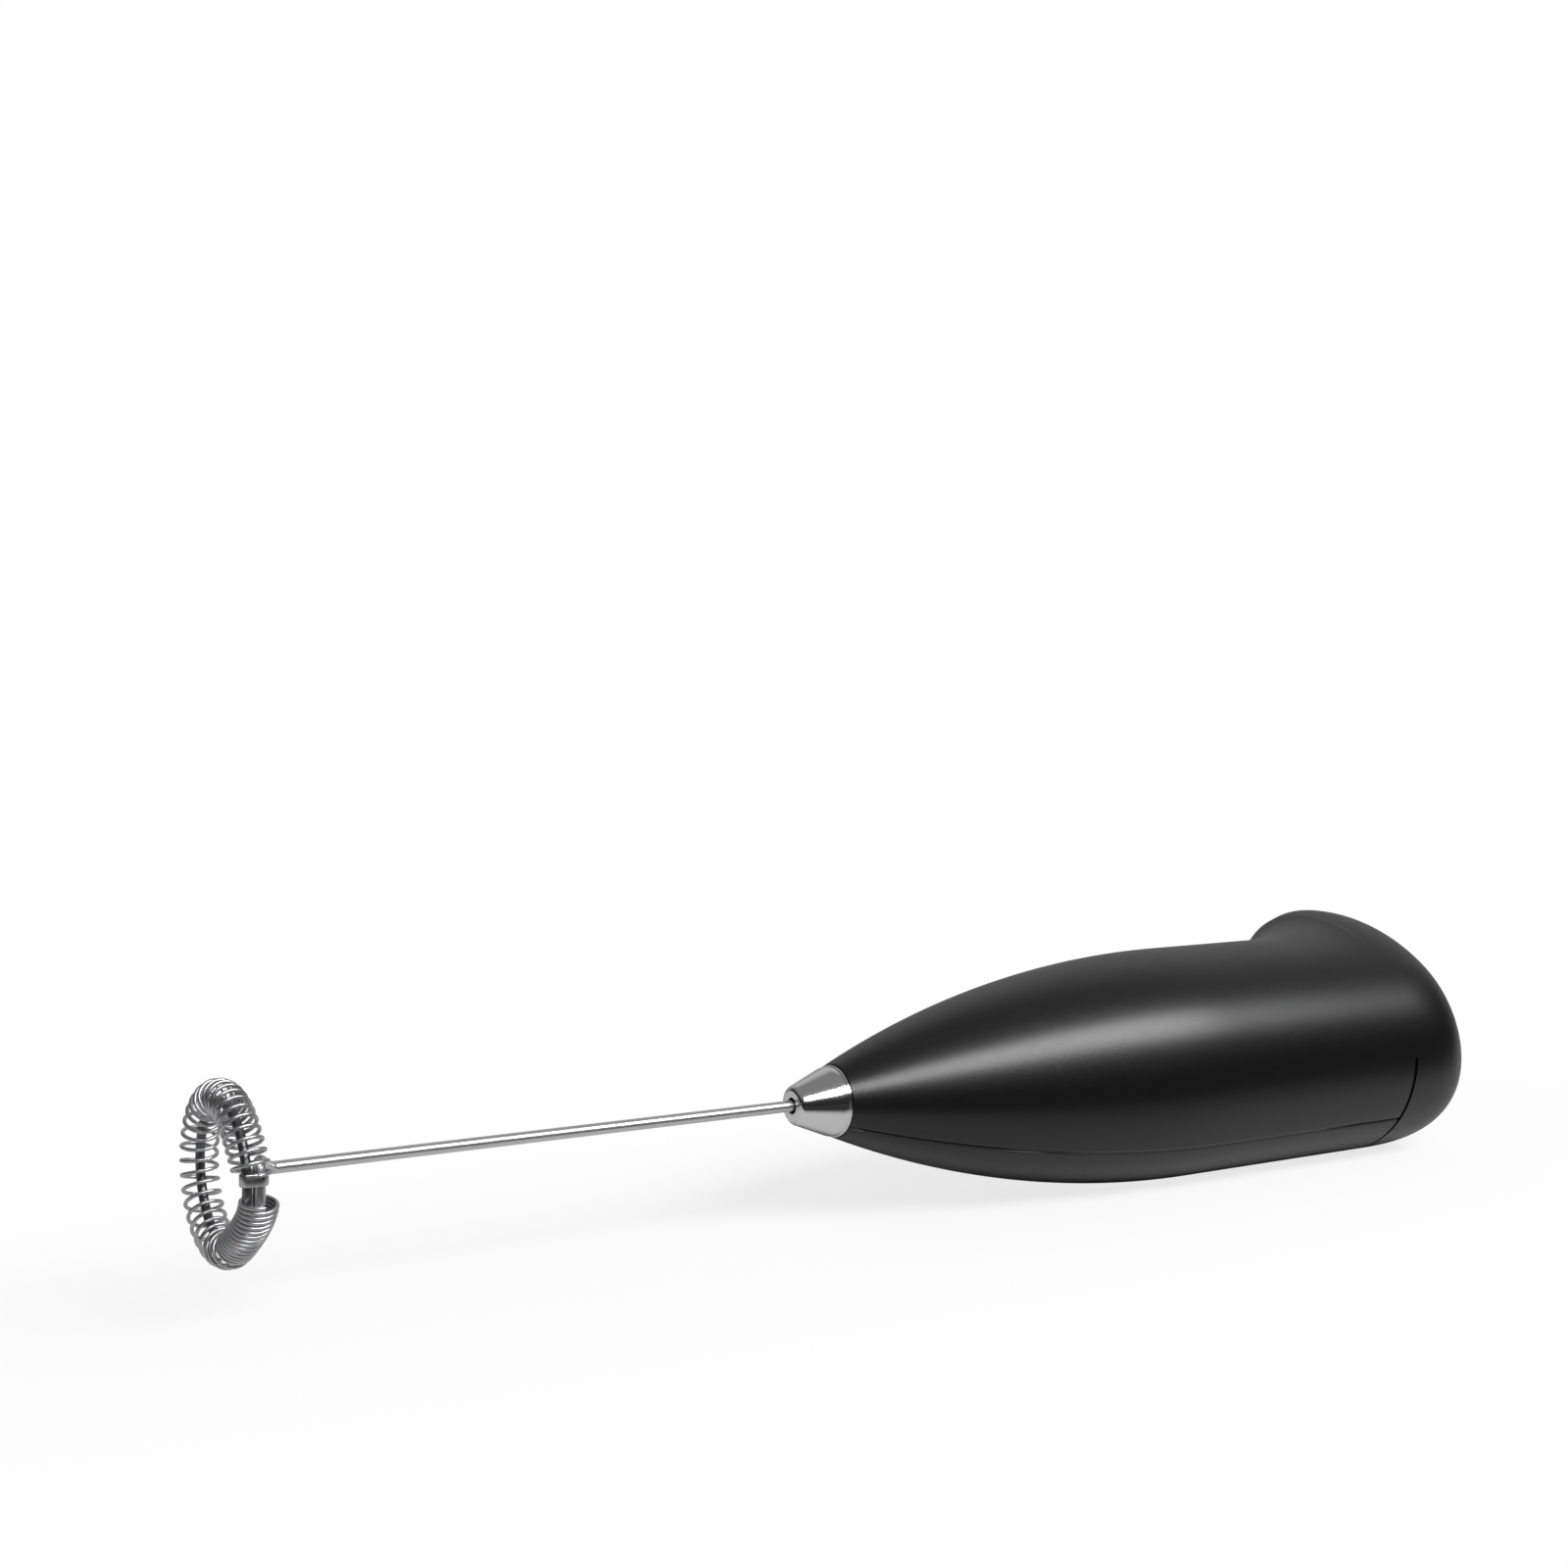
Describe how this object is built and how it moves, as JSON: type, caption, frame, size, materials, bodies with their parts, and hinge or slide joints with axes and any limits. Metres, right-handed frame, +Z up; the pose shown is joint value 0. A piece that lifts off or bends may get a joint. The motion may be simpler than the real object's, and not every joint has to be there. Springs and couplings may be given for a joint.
{
  "type": "milk frother",
  "caption": "Hand-held battery milk frother lying on its side: tapered handle with a flared end cap and push button, chrome nose cone, thin shaft and coil-wound whisk ring.",
  "frame": {"origin": "on the table, under the shaft axis, at the middle of the handle's straight underside", "axes": "+X along the shaft axis from the whisk towards the end cap, +Z up from the table, -Y towards the side that the picture was taken from"},
  "size_m": [0.2117, 0.0419, 0.0394],
  "materials": {
    "casing": "satin charcoal-black moulding with a very fine grain",
    "cone_chrome": "bright plated",
    "whisk_steel": "bright drawn stainless wire",
    "coil_steel": "bright stainless spring wire",
    "crimp_steel": "pressed sleeve",
    "inner_plastic": "plain inner moulding",
    "coupling_plastic": "plain moulding",
    "motor_steel": "zinc-plated",
    "core_steel": "stacked laminations",
    "magnet_ferrite": "sintered ferrite",
    "bearing_bronze": "sintered bronze",
    "bell_plastic": "plain moulding",
    "winding_copper": "enamelled copper",
    "contact_brass": "bare strip",
    "contact_plate": "nickel-plated strip",
    "cell_jacket": "plain jacket",
    "button_plastic": "satin moulding",
    "spring_steel": "bright spring wire"
  },
  "bodies": {
    "handle": {"upper_shell": "casing", "lower_shell": "casing", "nose_cone": "cone_chrome", "motor_mount": "inner_plastic", "motor_can": "motor_steel", "motor_front_bearing": "bearing_bronze", "motor_rear_bearing": "bearing_bronze", "motor_magnets": "magnet_ferrite", "motor_end_bell": "bell_plastic", "motor_brushes": "contact_brass", "motor_terminals": "contact_brass", "battery_cradle": "inner_plastic", "front_contact_left": "contact_plate", "front_contact_right": "contact_plate", "battery_left": "cell_jacket", "battery_right": "cell_jacket"},
    "rotor": {"whisk_shaft": "whisk_steel", "whisk_loop": "whisk_steel", "whisk_crimp": "crimp_steel", "whisk_coil": "coil_steel", "shaft_coupling": "coupling_plastic", "motor_shaft": "motor_steel", "armature_core": "core_steel", "armature_windings": "winding_copper", "commutator": "winding_copper"},
    "cap": {"end_cap": "casing", "contact_carrier": "inner_plastic", "cap_contact_left": "contact_plate", "cap_contact_right": "contact_plate", "button_spring": "spring_steel"},
    "button": {"button": "button_plastic", "bridge_plate": "contact_brass"}
  },
  "joints": [
    {"name": "whisk_spin", "type": "hinge", "parent": "handle", "child": "rotor", "pos_m": [-0.0822, 0, 0.0181], "axis": [1, 0, 0], "continuous": true},
    {"name": "cap_pull", "type": "slide", "parent": "handle", "child": "cap", "axis": [1, 0, 0], "range_m": [0, 0.03]},
    {"name": "button_press", "type": "slide", "parent": "cap", "child": "button", "axis": [-1, 0, 0], "range_m": [0, 0.0015], "stiffness_N_per_m": 600, "springref_m": -0.0005, "deforming": ["button_spring"]}
  ]
}
